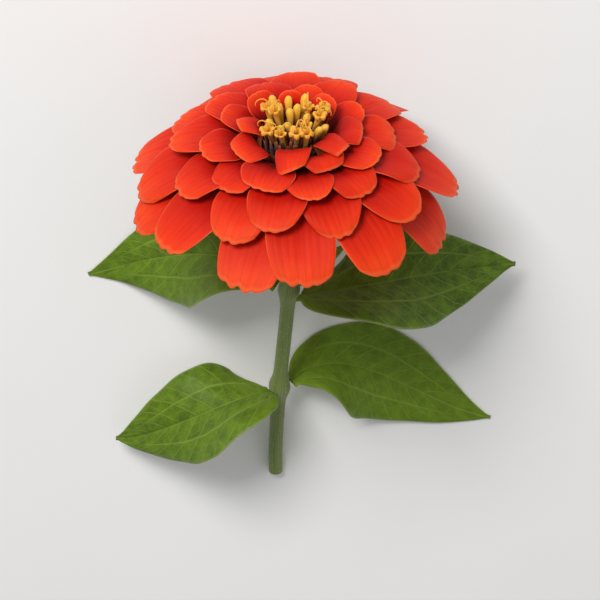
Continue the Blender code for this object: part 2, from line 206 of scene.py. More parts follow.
RECEPTACLE_SIDES = 48
DISC_SEED = 23
FLORETS = 24
INNER_FLORETS = 5  # these are still in bud
OPEN_SHARE = 0.75  # of the florets round them
OPEN_HEIGHTS = (5.0 * MM, 7.6 * MM)
BUD_HEIGHTS = (4.2 * MM, 6.4 * MM)
BACK_FLORET_RISE = 1.6 * MM  # how much taller the florets stand towards the back of the disc
FLORET_SKIN = 0.11 * MM
STYLE_SIDES = 7
STYLE_LENGTHS = (1.1 * MM, 1.9 * MM)
STYLE_RISE = 1.7 * MM
CHAFF_SCALES = 150
CHAFF_RADIUS = DISC_RADIUS + 1.5 * MM
CHAFF_HEIGHTS = (2.2 * MM, 4.4 * MM)
CHAFF_BED_RADIUS = DISC_RADIUS + 0.9 * MM
CHAFF_BED_SIDES = 40

# Colours, as light, not as display values.
# Deep red of the petal's foot and of its dark lines; at the foot it is partly painted shade.
PETAL_DEEP_RED_AND_SHADE = (0.17, 0.0015, 0.001)
PETAL_MIDDLE = (0.56, 0.007, 0.002)
PETAL_OUTER = (0.80, 0.029, 0.004)
PETAL_TIP = (0.90, 0.060, 0.008)
PETAL_RIM = (0.95, 0.15, 0.04)
PETAL_UNDER = (0.68, 0.085, 0.012)
PETAL_UNDER_BASE = (0.46, 0.25, 0.045)
PETAL_UNDER_MIDDLE = (0.62, 0.15, 0.03)
PETAL_UNDER_VEIN = (0.80, 0.20, 0.05)
PETAL_GLOW = (1.0, 0.18, 0.08)  # how far red, green and blue spread inside, as shares of the scale
PETAL_SHEEN = (1.0, 0.55, 0.40)
LEAF_DARK = (0.030, 0.072, 0.001)
LEAF_MIDDLE_GREEN = (0.100, 0.190, 0.004)
LEAF_LIGHT = (0.23, 0.37, 0.015)
LEAF_VEIN = (0.27, 0.38, 0.055)
LEAF_UNDER = (0.20, 0.27, 0.10)
LEAF_UNDER_PALE = (0.27, 0.34, 0.14)
LEAF_UNDER_VEIN = (0.38, 0.45, 0.20)
LEAF_RIM = (0.34, 0.40, 0.15)
LEAF_GLOW = (0.35, 1.0, 0.12)  # as in the petals
STEM_GREEN = (0.13, 0.19, 0.035)
STEM_LIGHT = (0.24, 0.31, 0.08)
STEM_RED = (0.16, 0.09, 0.03)
PITH_PALE = (0.62, 0.66, 0.36)
PITH_GREEN = (0.50, 0.58, 0.26)
PITH_CELL = (0.30, 0.36, 0.12)
STEM_WALL = (0.20, 0.30, 0.06)
BRACT_GREEN = (0.17, 0.24, 0.05)
BRACT_PALE = (0.33, 0.38, 0.12)
BRACT_EDGE = (0.018, 0.008, 0.004)
FLORET_YELLOW = (0.90, 0.52, 0.04)
FLORET_TUBE = (0.46, 0.36, 0.05)
FLORET_LOBE = (0.93, 0.44, 0.025)
CHAFF_DARK = (0.045, 0.006, 0.004)
CHAFF_TIP = (0.42, 0.09, 0.02)
FLORET_GLOW = (1.0, 0.6, 0.1)  # as in the petals
HAIR_WHITE = (0.62, 0.66, 0.48)
HAIR_GREEN = (0.48, 0.54, 0.32)
FLOOR_GREY = (0.93, 0.93, 0.93)
FLOOR_WHITE = (0.955, 0.955, 0.955)


UP = np.array((0.0, 0.0, 1.0))


def smooth(t):
    t = np.clip(t, 0, 1)
    return t * t * (3 - 2 * t)


def ease(t, start, end):
    """Rises smoothly from 0 at the start to 1 at the end."""
    return smooth((t - start) / (end - start))


def bezier(points, u):
    p = np.array(points, float)
    u = np.asarray(u, float)[..., None]
    v = 1 - u
    return v**3 * p[0] + 3 * v * v * u * p[1] + 3 * v * u * u * p[2] + u**3 * p[3]


def unit(vectors):
    return vectors / np.linalg.norm(vectors, axis=-1, keepdims=True)


def in_world(points):
    """Carries points from the head's frame to the flower's."""
    m = np.array(HEAD)
    return points @ m[:3, :3].T + m[:3, 3]


# ---------------------------------------------------------------- the CAD model's curves


def petal_shape(index, draw):
    """What tells one petal from another in the CAD model."""
    stations = np.array(PETAL_STATIONS)
    radius, height, width, rise, slope = (
        np.interp(index, stations[:, 0], column) for column in stations[:, 1:].T
    )
    seat_height = (0.8 + 8.4 * index / (PETAL_COUNT - 1)) * MM
    side = RECEPTACLE_LOW_RADIUS + (RECEPTACLE_TOP_RADIUS - RECEPTACLE_LOW_RADIUS) * (
        seat_height / RECEPTACLE_HEIGHT
    )
    return {
        "angle": FIRST_PETAL_ANGLE + index * GOLDEN_ANGLE + draw.uniform(-1, 1) * ANGLE_SPREAD,
        "seat": (side + GAP + CAD_PETAL_THICKNESS / 2, seat_height),
        "tip": (
            radius * MM + draw.uniform(-1, 1) * RADIUS_SPREAD,
            height * MM + draw.uniform(-1, 1) * HEIGHT_SPREAD,
        ),
        "half_width": width * MM / 2,
        "rise": math.radians(rise),
        "slope": math.radians(slope),
        "roll": draw.uniform(-1, 1) * ROLL_SPREAD,
        "sway": draw.uniform(-1, 1) * SWAY_SPREAD,
    }


PLAIN = {
    "widening": 1.0,
    "narrowing": TIP_NARROWING,
    "rounding": TIP_ROUNDING,
    "notch": 0.0,
    "notch_at": 0.0,
    "wave": 0.0,
    "phase": 0.0,
    "lean": 0.0,
    "roll_back": 0.0,
    "twist": 0.0,
    "curl": 0.0,
    "crease": 0.0,
    "ridge": 0.0,
}


def petal_notches(look, v):
    """One notch near the middle of the tip and a shallower one on each side of it."""
    place = v - look["notch_at"]
    middle = np.exp(-((place / 0.13) ** 2))
    left, right = np.exp(-(((place + 0.46) / 0.10) ** 2)), np.exp(-(((place - 0.50) / 0.10) ** 2))
    return look["notch"] * (middle + 0.55 * left + 0.45 * right)


def petal_relief(look, u, v):
    """How far waves, rolls, creases and ridges lift the petal over its plain surface."""
    wave = look["wave"] * v**2 * np.sin(5.5 * u + look["phase"] + 1.7 * np.sign(v)) * ease(u, 0.25, 0.65)
    lean = look["lean"] * ease(u, 0, 0.55)
    roll_back = look["roll_back"] * np.clip((u - 0.38) / 0.62, 0, 1) ** 2
    twist = look["twist"] * v * ease(u, 0.2, 1)
    curl = look["curl"] * np.clip((u - 0.72) / 0.28, 0, 1) ** 2
    crease = look["crease"] * np.exp(-((v / 0.14) ** 2)) * ease(u, 0, 0.1) * (1 - 0.75 * ease(u, 0.3, 0.9))
    ridges = look["ridge"] * np.cos(RIDGES * math.pi * v)
    ridges = ridges * ease(u, 0.08, 0.28) * (1 - 0.6 * ease(u, 0.8, 1))
    return wave + lean - roll_back + twist - curl - crease + ridges


def petal_surface(shape, along, across, bend=0.0, look=PLAIN):
    """The middle surface in the head's frame. With the plain look it is the CAD model's."""
    seat, tip = np.array(shape["seat"]), np.array(shape["tip"])
    reach = np.linalg.norm(tip - seat)
    leave = np.array((math.cos(shape["rise"]), math.sin(shape["rise"])))
    arrive = np.array((math.cos(shape["slope"]), math.sin(shape["slope"])))
    control = (seat, seat + 0.4 * reach * leave, tip - 0.38 * reach * arrive, tip)

    u, v = np.meshgrid(np.linspace(0, 1, along), np.linspace(-1, 1, across), indexing="ij")
    notches = petal_notches(look, v) * ease(u, 0.7, 1)
    station = u * (1 - look["rounding"] * np.abs(v) ** 2.4 * smooth(u) - notches)
    middle = bezier(control, station)
    step = unit(bezier(control, station + 0.01) - bezier(control, station - 0.01))
    normal = np.stack((-step[..., 1], step[..., 0]), -1)

    half_width = shape["half_width"] * look["widening"]
    claw = PETAL_CLAW_WIDTH / 2 / half_width
    share = claw + (1 - claw) * smooth(u / BROADEST_AT)
    share -= look["narrowing"] * np.clip((u - BROADEST_AT) / (1 - BROADEST_AT), 0, 1) ** 2.2
    offset = half_width * share * v
    cupping = CLAW_CUPPING + (PETAL_CUPPING - CLAW_CUPPING) * smooth(u / 0.35)
    cupping = cupping * (1 - 0.9 * smooth((u - 0.6) / 0.4))
    lift = cupping * np.abs(offset) * np.abs(v) + offset * math.tan(shape["roll"]) * smooth(u / 0.5)
    lift = lift + petal_relief(look, u, v)

    profile = middle + normal * lift[..., None]
    turned = profile - seat
    profile = seat + np.stack(
        (
            turned[..., 0] * math.cos(bend) + turned[..., 1] * math.sin(bend),
            turned[..., 1] * math.cos(bend) - turned[..., 0] * math.sin(bend),
        ),
        -1,
    )
    angle = shape["angle"] + shape["sway"] * u * u
    radial = np.stack((np.cos(angle), np.sin(angle)), -1)
    sideways = np.stack((-np.sin(angle), np.cos(angle)), -1)
    flat = profile[..., :1] * radial + offset[..., None] * sideways
    return np.concatenate((flat, profile[..., 1:]), -1)


def bend_needed(shape):
    """How far the table pushes this petal back."""
    low, high = 0.0, MOST_BEND
    for _ in range(18):
        middle = (low + high) / 2
        if in_world(petal_surface(shape, 9, 5, middle))[..., 2].min() < TABLE_CLEARANCE:
            low = middle
        else:
            high = middle
    return high if low > 0 else 0.0


def petal_bends(shapes):
    """A petal that is pushed back takes the ones under it along."""
    bends = [bend_needed(shape) for shape in shapes]
    for index in reversed(range(len(shapes))):
        for step in NEIGHBOURS_ABOVE:
            if index + step < len(shapes):
                apart = shapes[index + step]["angle"] - shapes[index]["angle"]
                bends[index] = max(bends[index], bends[index + step] * max(0, math.cos(apart)))
    return bends


def stem_path():
    """Control points from the head to the cut end, which lies on the table."""
    start = np.array(HEAD.translation)
    drop = start[2] - CUT_RADIUS
    end = np.array((STEM_BOW, start[1] + math.sqrt(STEM_LENGTH**2 - drop**2 - STEM_BOW**2), CUT_RADIUS))
    return start, start - AXIS * STEM_LENGTH * 0.35, end - np.array((0, 0.3, -0.06)) * STEM_LENGTH, end


def stem_radius(distance):
    nodes = (UPPER_NODE, LOWER_NODE)
    swelling = sum(math.exp(-(((distance - node) / NODE_SPREAD) ** 2)) for node in nodes)
    radius = STEM_RADIUS + (CUT_RADIUS - STEM_RADIUS) * distance / STEM_LENGTH
    radius += (NODE_RADIUS - STEM_RADIUS) * swelling
    return radius + (NECK_RADIUS - STEM_RADIUS) * smooth(1 - (distance - CUP_DEPTH) / NECK_LENGTH)


def stem_frame(distance):
    """The stem's middle this far from the head, and its ahead, side and up."""
    control = stem_path()
    share = distance / STEM_LENGTH
    ahead = unit(bezier(control, share - 0.01) - bezier(control, share + 0.01))
    side = unit(np.cross((0, 0, 1), ahead))
    return bezier(control, share), ahead, side, np.cross(ahead, side)


def receptacle_height(radius):
    """Height of the receptacle's crown over the head's origin, at this radius."""
    share = np.clip(radius / RECEPTACLE_TOP_RADIUS, 0, 1)
    return RECEPTACLE_HEIGHT + RECEPTACLE_CROWN * math.sqrt(1 - share**2)


def leaf_surface(node, azimuth, ascent, tip, arrive, tip_side, width, along, across, relief=None):
    """The middle surface of a leaf, and its (u, v) and flat sizes, with a relief along its normal."""
    middle, ahead, side, up = stem_frame(node)
    around = math.radians(azimuth)
    outwards = math.cos(around) * side + math.sin(around) * up
    rise = math.radians(ascent)
    leave = math.cos(rise) * outwards + math.sin(rise) * ahead
    base = middle + (stem_radius(node) + GAP + LEAF_THICKNESS / 2) * outwards
    end = np.array(tip) * MM
    reach = np.linalg.norm(end - base)
    control = (base, base + 0.36 * reach * leave, end - 0.36 * reach * unit(np.array(arrive)), end)

    u, v = np.meshgrid(np.linspace(0, 1, along), np.linspace(-1, 1, across), indexing="ij")
    midrib = bezier(control, u)
    forward = unit(bezier(control, u + 0.01) - bezier(control, u - 0.01))
    base_side = math.cos(rise) * ahead - math.sin(rise) * outwards
    turn = smooth(u * 1.25)[..., None]
    facing = (1 - turn) * base_side + turn * unit(np.array(tip_side, float))
    sideways = unit(np.cross(facing, forward))
    normal = np.cross(forward, sideways)

    power = math.log(0.5) / math.log(LEAF_BROADEST_AT)
    share = np.sin(math.pi * u**power)
    share = np.maximum(share, np.maximum(LEAF_BASE_SHARE * (1 - u) ** 2, LEAF_TIP_SHARE))
    offset = width * MM / 2 * share * v
    lift = LEAF_FOLD * np.abs(offset) * (1 - 0.4 * v**2)
    if relief is not None:
        offset, lift = offset * relief[1](u, v), lift + relief[0](u, v, offset)
    points = midrib + offset[..., None] * sideways + lift[..., None] * normal
    floor = LEAF_THICKNESS / 2 + LEAF_CLEARANCE
    points[..., 2] = floor + LEAF_PRESS * np.logaddexp(0, (points[..., 2] - floor) / LEAF_PRESS)
    return points, u, v, offset, reach


# The CAD model's origin is under the middle of its box. Its stem tells by how much it was moved from the
# place that these curves are written for: the receptacle sideways, the cut end along and up.
CAD_STEM_SIDES = 12


def frame_shift():
    middle, _, side, up = stem_frame(STEM_LENGTH)
    angle = np.arange(CAD_STEM_SIDES)[:, None] * 2 * math.pi / CAD_STEM_SIDES
    ring = middle + stem_radius(STEM_LENGTH) * (np.cos(angle) * side + np.sin(angle) * up)
    low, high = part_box("stem")
    return np.array((low[0] + RECEPTACLE_LOW_RADIUS, high[1] - ring[:, 1].max(), low[2] - ring[:, 2].min()))


SHIFT = frame_shift()


# ---------------------------------------------------------------- meshes


def set_mesh(name, vertices, faces, finishes, slots=None, uvs=None, floats=None, sharp=None):
    """An object in the scene, with its materials, uv maps and point attributes."""
    mesh = bpy.data.meshes.new(name)
    mesh.from_pydata((np.asarray(vertices) + SHIFT).tolist(), [], [list(map(int, f)) for f in faces])
    for finish in finishes:
        mesh.materials.append(finish)
    if slots is not None:
        mesh.polygons.foreach_set("material_index", np.asarray(slots, np.int32))
    loops = np.empty(len(mesh.loops), np.int32)
    mesh.loops.foreach_get("vertex_index", loops)
    for label, values in (uvs or {}).items():
        layer = mesh.uv_layers.new(name=label)
        layer.data.foreach_set("uv", np.asarray(values, np.float32)[loops].ravel())
    for label, values in (floats or {}).items():
        layer = mesh.attributes.new(label, "FLOAT", "POINT")
        layer.data.foreach_set("value", np.asarray(values, np.float32))
    mesh.validate()
    mesh.shade_smooth()
    if sharp:
        mesh.set_sharp_from_angle(angle=math.radians(sharp))
    made = bpy.data.objects.new(name, mesh)
    bpy.context.scene.collection.objects.link(made)
    return made


def mount(made, slot, *nodes):
    """Sets the piece on the body, in place of these nodes of the CAD model."""
    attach(made, "root")
    if nodes:
        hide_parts(*nodes)
    return made


def grid_faces(number):
    corners = (number[:-1, :-1], number[1:, :-1], number[1:, 1:], number[:-1, 1:])
    return np.stack(corners, -1).reshape(-1, 4)


def sheet_parts(points, thickness):
    """Vertices, faces and sides of a closed sheet of this thickness round a grid of points."""
    rows, columns = points.shape[:2]
    normal = unit(np.cross(np.gradient(points, axis=0), np.gradient(points, axis=1)))
    half = normal * (thickness / 2)[..., None]
    vertices = np.concatenate(((points + half).reshape(-1, 3), (points - half).reshape(-1, 3)))
    number = np.arange(rows * columns).reshape(rows, columns)
    top = grid_faces(number)
    under = top[:, (0, 3, 2, 1)] + rows * columns
    border = np.concatenate((number[0, :], number[1:, -1], number[-1, -2::-1], number[-2:0:-1, 0]))
    after = np.roll(border, -1)
    rim = np.stack((border, after, after + rows * columns, border + rows * columns), -1)
    sides = np.concatenate((np.zeros(len(top)), np.ones(len(under)), np.zeros(len(rim))))
    return vertices, np.concatenate((top, under, rim)), sides


def across_and_along(u, v):
    """The uv places of both sides of a sheet: 0 to 1 across it, and 0 to 1 along it."""
    return np.tile(np.stack((v / 2 + 0.5, u), -1).reshape(-1, 2), (2, 1))


def tube_parts(rings):
    """Vertices and faces of a closed tube through these rings of points, with flat ends."""
    rings = np.asarray(rings)
    rows, columns = rings.shape[:2]
    number = np.arange(rows * columns).reshape(rows, columns)
    nxt = np.roll(number, -1, axis=1)
    quads = np.stack((number[:-1], nxt[:-1], nxt[1:], number[1:]), -1).reshape(-1, 4).tolist()
    return rings.reshape(-1, 3), quads + [number[0][::-1].tolist(), number[-1].tolist()]


def circle(sides):
    return np.arange(sides) * 2 * math.pi / sides


class Gathering:
    """Joins many small meshes into one piece."""

    def __init__(self):
        self.vertices, self.faces, self.values, self.count = [], [], [], 0

    def add(self, vertices, faces, values=None):
        self.vertices.append(np.asarray(vertices))
        self.faces += [[int(n) + self.count for n in face] for face in faces]
        self.values.append(np.zeros(len(vertices)) if values is None else np.asarray(values))
        self.count += len(vertices)

    def piece(self, name, finish):
        tones = {"tone": np.concatenate(self.values)}
        return set_mesh(name, np.concatenate(self.vertices), self.faces, (finish,), floats=tones)


# ---------------------------------------------------------------- materials


class Finish:
    """A node material with its Principled shader, and short ways to add nodes."""

    def __init__(self, name, roughness=0.55, **sockets):
        self.material = bpy.data.materials.new(name)
        self.material.use_nodes = True
        self.tree = self.material.node_tree
        self.shader = self.tree.nodes["Principled BSDF"]
        self.shader.inputs["Roughness"].default_value = roughness
        for socket, value in sockets.items():
            self.shader.inputs[socket.replace("_", " ")].default_value = value

    def node(self, kind, inputs=None, **settings):
        made = self.tree.nodes.new(kind)
        for setting, value in settings.items():
            setattr(made, setting, value)
        for socket, value in (inputs or {}).items():
            self.feed(made.inputs[socket], value)
        return made

    def feed(self, socket, value):
        if isinstance(value, bpy.types.NodeSocket):
            self.tree.links.new(value, socket)
        else:
            socket.default_value = value

    def math(self, operation, *values):
        made = self.node("ShaderNodeMath", operation=operation)
        for socket, value in zip(made.inputs, values):
            self.feed(socket, value)
        return made.outputs[0]

    def times(self, a, b):
        return self.math("MULTIPLY", a, b)

    def plus(self, a, b):
        return self.math("ADD", a, b)

    def minus(self, a, b):
        return self.math("SUBTRACT", a, b)

    def most(self, first, *others):
        for other in others:
            first = self.math("MAXIMUM", first, other)
        return first

    def spread(self, value, amount):
        """Turns 0 to 1 into plus or minus half the amount."""
        return self.times(self.minus(value, 0.5), amount)

    def mix(self, factor, a, b):
        made = self.node("ShaderNodeMix", data_type="RGBA")
        self.feed(made.inputs[0], factor)
        for socket, value in ((made.inputs[6], a), (made.inputs[7], b)):
            self.feed(socket, (*value, 1) if isinstance(value, tuple) and len(value) == 3 else value)
        return made.outputs[2]

    def ramp(self, factor, *stops):
        made = self.node("ShaderNodeValToRGB")
        self.feed(made.inputs[0], factor)
        elements = made.color_ramp.elements
        for index, (place, colour) in enumerate(stops):
            element = elements[index] if index < 2 else elements.new(place)
            element.position = place
            element.color = (*colour, 1) if isinstance(colour, tuple) else (colour, colour, colour, 1)
        return made.outputs[0]

    def uv(self, label="UVMap"):
        place = self.node("ShaderNodeUVMap", uv_map=label).outputs[0]
        parts = self.node("ShaderNodeSeparateXYZ", {0: place})
        return parts.outputs[0], parts.outputs[1]

    def value(self, label):
        return self.node("ShaderNodeAttribute", attribute_name=label).outputs["Fac"]

    def vector(self, x, y, z=0.0):
        return self.node("ShaderNodeCombineXYZ", {0: x, 1: y, 2: z}).outputs[0]

    def noise(self, vector, scale, detail=3.0, roughness=0.5):
        inputs = {"Vector": vector, "Scale": scale, "Detail": detail, "Roughness": roughness}
        return self.node("ShaderNodeTexNoise", inputs).outputs[0]

    def cell_edges(self, vector, scale):
        inputs = {"Vector": vector, "Scale": scale}
        made = self.node("ShaderNodeTexVoronoi", inputs, feature="DISTANCE_TO_EDGE")
        return made.outputs["Distance"]

    def bump(self, height, distance, strength):
        inputs = {"Height": height, "Distance": distance, "Strength": strength}
        made = self.node("ShaderNodeBump", inputs)
        self.tree.links.new(made.outputs[0], self.shader.inputs["Normal"])

    def colour(self, value):
        self.feed(self.shader.inputs["Base Color"], value)

    def object_place(self):
        return self.node("ShaderNodeTexCoord").outputs["Object"]


def petal_finish(name, under):
    """Dark red at the foot, partly the petal's own colour and partly painted shade, to orange at the tip,
    with lines and a pale rim, or the duller underside.
    """
    f = Finish(name, 0.65 if under else 0.54, Subsurface_Weight=0.10, Subsurface_Scale=0.0010,
               Sheen_Weight=0.02, Sheen_Roughness=0.45, Specular_IOR_Level=0.14)
    f.shader.inputs["Subsurface Radius"].default_value = PETAL_GLOW
    f.shader.inputs["Sheen Tint"].default_value = (*PETAL_SHEEN, 1)
    across, along = f.uv()
    tone = f.value("tone")
    fine_lines = f.vector(f.times(across, 26.0), f.times(along, 1.6), tone)
    streak = f.noise(fine_lines, 1.0, 4.0, 0.6)
    vein = f.math("ABSOLUTE", f.math("SINE", f.times(across, math.pi * RIDGES)))
    patch = f.noise(f.vector(f.times(across, 2.2), f.times(along, 3.0), f.times(tone, 9.0)), 1.0)
    if under:
        colour = f.ramp(along, (0.0, PETAL_UNDER_BASE), (0.30, PETAL_UNDER_MIDDLE), (1.0, PETAL_UNDER))
        colour = f.mix(f.times(vein, 0.22), colour, PETAL_UNDER_VEIN)
    else:
        place = f.plus(along, f.spread(patch, 0.26))
        place = f.plus(place, f.spread(tone, 0.22))
        # The dark foot is partly the petal's own deep red and partly painted shade between the rows of
        # petals.
        stops = ((0.34, PETAL_DEEP_RED_AND_SHADE), (0.62, PETAL_MIDDLE), (0.86, PETAL_OUTER), (1.0, PETAL_TIP))
        colour = f.ramp(place, *stops)
        colour = f.mix(f.times(f.minus(1.0, vein), 0.04), colour, PETAL_DEEP_RED_AND_SHADE)
    colour = f.mix(f.ramp(streak, (0.38, 0.16), (0.62, 0.0)), colour, PETAL_DEEP_RED_AND_SHADE)
    side = f.math("ABSOLUTE", f.minus(f.times(across, 2.0), 1.0))
    edge = f.math("MAXIMUM", f.times(side, f.ramp(along, (0.25, 0.9), (0.5, 1.0))), along)
    colour = f.mix(f.ramp(edge, (0.955, 0.0), (0.995, 0.75)), colour, PETAL_RIM)
    f.colour(colour)
    height = f.plus(f.times(streak, 0.6), f.times(vein, 0.2))
    fine = f.noise(f.object_place(), 5200.0, 2.0)
    f.bump(f.plus(height, f.times(fine, 0.35)), 0.00018, 0.55)
    return f.material


def leaf_pattern(f):
    """How much vein there is, 0 to 1, and the height of the quilted ground between the veins."""
    across, along = f.uv()
    x, y = f.uv("Size")
    side = f.minus(f.times(across, 2.0), 1.0)
    far = f.math("ABSOLUTE", side)
    wander = f.spread(f.noise(f.vector(x, y), 0.22, 2.0), 0.35)
    midrib = f.ramp(f.math("ABSOLUTE", x), (0.0, 1.0), (0.42, 0.0))
    lateral_line = f.plus(LATERAL_VEIN_AT, f.times(wander, 0.25))
    lateral = f.ramp(f.math("ABSOLUTE", f.minus(far, lateral_line)), (0.0, 1.0), (0.045, 0.0))
    lateral = f.times(lateral, f.ramp(along, (0.72, 1.0), (0.9, 0.2)))
    slant = f.times(far, SIDE_VEIN_SLANT)
    slant = f.minus(f.times(along, float(SIDE_VEINS)), slant)
    slant = f.plus(slant, wander)
    rib = f.math("ABSOLUTE", f.minus(f.math("FRACT", slant), 0.5))
    rib = f.ramp(rib, (0.0, 0.8), (0.07, 0.0))
    coarse = f.ramp(f.cell_edges(f.vector(x, y), 0.42), (0.0, 0.36), (0.10, 0.0))
    fine = f.ramp(f.cell_edges(f.vector(x, y), 1.15), (0.0, 0.14), (0.12, 0.0))
    vein = f.most(midrib, lateral, rib, coarse, fine)
    return vein, f.noise(f.vector(x, y), 0.35, 4.0), along, far


def leaf_finish(name, under):
    """Mottled green with paler veins, or the paler underside, on which the veins stand out."""
    f = Finish(name, 0.60 if under else 0.46, Subsurface_Weight=0.10, Subsurface_Scale=0.0010,
               Sheen_Weight=0.03, Sheen_Roughness=0.5, Specular_IOR_Level=0.22)
    f.shader.inputs["Subsurface Radius"].default_value = LEAF_GLOW
    vein, ground, along, far = leaf_pattern(f)
    tone = f.value("tone")
    if under:
        colour = f.mix(ground, LEAF_UNDER, LEAF_UNDER_PALE)
        colour = f.mix(f.times(vein, 0.7), colour, LEAF_UNDER_VEIN)
    else:
        colour = f.mix(f.ramp(ground, (0.35, 0.0), (0.68, 1.0)), LEAF_DARK, LEAF_MIDDLE_GREEN)
        colour = f.mix(f.times(tone, 0.75), colour, LEAF_LIGHT)
        colour = f.mix(f.ramp(along, (0.0, 0.55), (0.25, 0.0)), colour, LEAF_LIGHT)
        colour = f.mix(f.times(vein, 0.55), colour, LEAF_VEIN)
    colour = f.mix(f.ramp(far, (0.955, 0.0), (0.99, 0.6)), colour, LEAF_RIM)
    f.colour(colour)
    raised = f.times(vein, 0.8 if under else -0.8)
    height = f.plus(f.times(ground, 0.5), raised)
    fine = f.noise(f.object_place(), 3600.0, 2.0)
    f.bump(f.plus(height, f.times(fine, 0.25)), 0.00022, 0.7)
    return f.material


def stem_finish():
    f = Finish("stem_skin", 0.52, Subsurface_Weight=0.08, Subsurface_Scale=0.001, Sheen_Weight=0.15)
    place, turn = f.uv()
    streak = f.noise(f.vector(f.times(turn, 38.0), f.times(place, 5.0)), 1.0)
    patch = f.noise(f.object_place(), 90.0)
    colour = f.mix(f.ramp(streak, (0.36, 0.0), (0.66, 1.0)), STEM_GREEN, STEM_LIGHT)
    colour = f.mix(f.ramp(patch, (0.55, 0.0), (0.75, 0.45)), colour, STEM_RED)
    f.colour(colour)
    fine = f.noise(f.object_place(), 2600.0, 2.0)
    f.bump(f.plus(streak, f.times(fine, 0.5)), 0.0002, 0.7)
    return f.material


def pith_finish():
    f = Finish("stem_pith", 0.6, Subsurface_Weight=0.15, Subsurface_Scale=0.001)
    out = f.value("tone")
    cells = f.node("ShaderNodeTexVoronoi", {"Vector": f.object_place(), "Scale": 4200.0})
    colour = f.ramp(out, (0.0, PITH_PALE), (0.6, PITH_GREEN), (0.78, STEM_WALL))
    f.colour(f.mix(f.times(cells.outputs["Distance"], 0.5), colour, PITH_CELL))
    f.bump(cells.outputs["Distance"], 0.0001, 0.8)
    return f.material


def bract_finish(name):
    """Lined green with a dark margin."""
    f = Finish(name, 0.55, Subsurface_Weight=0.06, Subsurface_Scale=0.001, Sheen_Weight=0.12)
    across, along = f.uv()
    side = f.math("ABSOLUTE", f.minus(f.times(across, 2.0), 1.0))
    lines = f.noise(f.vector(f.times(across, 16.0), along), 1.0)
    colour = f.mix(f.ramp(lines, (0.35, 0.0), (0.65, 1.0)), BRACT_GREEN, BRACT_PALE)
    edge = f.math("MAXIMUM", f.times(side, f.ramp(along, (0.3, 0.85), (0.6, 1.0))), along)
    edge = f.plus(edge, f.spread(lines, 0.06))
    colour = f.mix(f.ramp(edge, (0.84, 0.0), (0.90, 1.0)), colour, BRACT_EDGE)
    f.colour(colour)
    f.bump(lines, 0.0002, 0.6)
    return f.material


def receptacle_finish():
    """Green below, and painted shade between the petals: deep red to near black."""
    f = Finish("receptacle", 0.6)
    grain = f.times(f.noise(f.object_place(), 900.0), 0.2)
    place = f.plus(f.value("tone"), grain)
    # Painted shade: deep red, then near black, where the petals and the chaff cover the receptacle.
    f.colour(f.ramp(place, (0.25, BRACT_GREEN), (0.45, PETAL_DEEP_RED_AND_SHADE), (0.95, CHAFF_DARK)))
    f.bump(f.noise(f.object_place(), 1500.0), 0.0002, 0.8)
    return f.material


def floret_finish(name, low, high):
    """From the low colour at the foot to the high one at the mouth."""
    f = Finish(name, 0.5, Subsurface_Weight=0.15, Subsurface_Scale=0.0008, Sheen_Weight=0.15)
    f.shader.inputs["Subsurface Radius"].default_value = FLORET_GLOW
    tone = f.value("tone")
    grain = f.noise(f.object_place(), 1400.0)
    place = f.plus(tone, f.spread(grain, 0.3))
    f.colour(f.ramp(place, (0.12, low), (0.62, high)))
    f.bump(grain, 0.0001, 0.6)
    return f.material


def chaff_finish():
    f = Finish("chaff_scales", 0.6, Sheen_Weight=0.1)
    tone = f.value("tone")
    grain = f.noise(f.object_place(), 1800.0)
    place = f.plus(tone, f.spread(grain, 0.4))
    f.colour(f.ramp(place, (0.45, CHAFF_DARK), (0.95, CHAFF_TIP)))
    f.bump(grain, 0.0001, 0.8)
    return f.material


def hair_finish():
    f = Finish("fine_hair", 0.5, Sheen_Weight=0.2)
    f.colour(f.mix(f.noise(f.object_place(), 700.0), HAIR_WHITE, HAIR_GREEN))
    return f.material


def floor_finish():
    f = Finish("paper_floor", 0.9, Specular_IOR_Level=0.2)
    f.colour(f.mix(f.noise(f.object_place(), 40.0, 4.0), FLOOR_GREY, FLOOR_WHITE))
    return f.material


# ---------------------------------------------------------------- petals


def petal_look(index, extra):
    """What the petal shows beyond the CAD model. Each value draws in this order."""
    small = index >= FIRST_SMALL_PETAL
    lean, roll_back = INNERMOST.get(index, (0, 0))
    widened = index in INNERMOST and index != FRONT_PETAL
    return {
        "widening": PETAL_WIDENING * (INNERMOST_WIDENING if widened else 1),
        "notch": NOTCH_DEPTH * extra.uniform(0.4, 1.2) * (0.8 if small else 1),
        "notch_at": extra.uniform(-0.22, 0.22),
        "wave": (0.22 if small else 0.50) * MM * extra.uniform(0.3, 1.0),
        "twist": (0.30 if small else 0.38) * MM * extra.uniform(-1, 1)
        + (FRONT_PETAL_TWIST if index == FRONT_PETAL else 0),
        "phase": extra.uniform(0, 6.28),
        "curl": extra.uniform(-0.3, 0.8 if small else 1.3) * MM,
        "crease": extra.uniform(0.15, 0.4) * MM,
        "ridge": RIDGE_HEIGHT * extra.uniform(0.1, 0.7),
        "narrowing": extra.uniform(0.16, 0.30),
        "rounding": extra.uniform(0.07, 0.14),
        "lean": lean * MM,
        "roll_back": roll_back * MM,
    }


